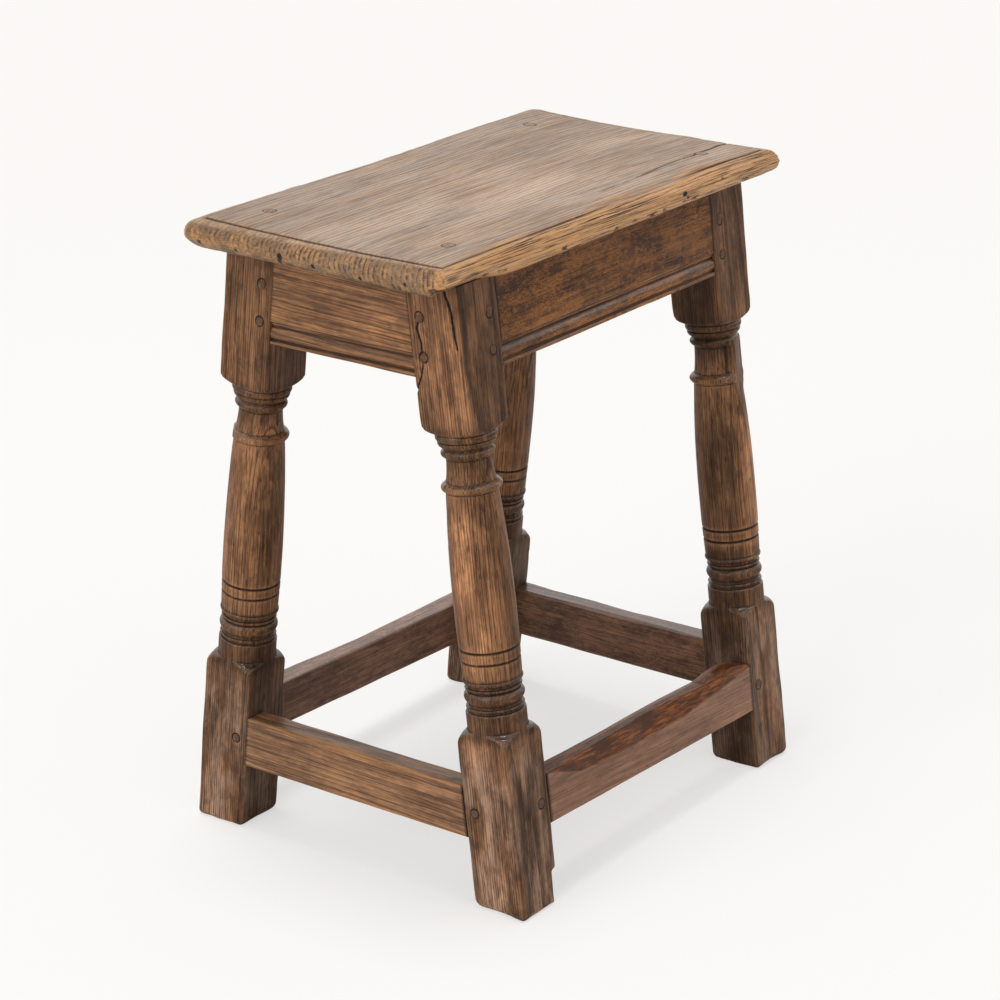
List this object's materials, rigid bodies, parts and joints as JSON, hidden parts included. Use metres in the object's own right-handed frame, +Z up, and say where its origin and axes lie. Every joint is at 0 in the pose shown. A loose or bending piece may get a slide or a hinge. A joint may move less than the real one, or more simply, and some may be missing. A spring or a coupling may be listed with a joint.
{
  "type": "joint stool",
  "caption": "Oak joint stool: thick plank seat pegged to splayed turned legs, which are joined by moulded rails under the seat and plain stretchers near the floor.",
  "frame": {"origin": "on the floor under the middle of the stool", "axes": "+Z up, +X along the seat, -Y the front, the long side nearer to the viewer of the picture"},
  "size_m": [0.492, 0.3578, 0.56],
  "materials": {
    "seat_oak": "worn and waxed",
    "leg_oak": "waxed, with handling wear",
    "rail_oak": "waxed",
    "stretcher_oak": "worn by feet",
    "peg_oak": "waxed end grain"
  },
  "bodies": {
    "root": {"seat_board": "seat_oak", "seat_pegs": "peg_oak", "leg_front_left": "leg_oak", "leg_front_right": "leg_oak", "leg_back_left": "leg_oak", "leg_back_right": "leg_oak", "rail_front": "rail_oak", "stretcher_front": "stretcher_oak", "rail_pegs_front": "peg_oak", "stretcher_pegs_front": "peg_oak", "rail_back": "rail_oak", "stretcher_back": "stretcher_oak", "rail_pegs_back": "peg_oak", "stretcher_pegs_back": "peg_oak", "rail_left": "rail_oak", "stretcher_left": "stretcher_oak", "rail_pegs_left": "peg_oak", "stretcher_pegs_left": "peg_oak", "rail_right": "rail_oak", "stretcher_right": "stretcher_oak", "rail_pegs_right": "peg_oak", "stretcher_pegs_right": "peg_oak"}
  },
  "joints": []
}
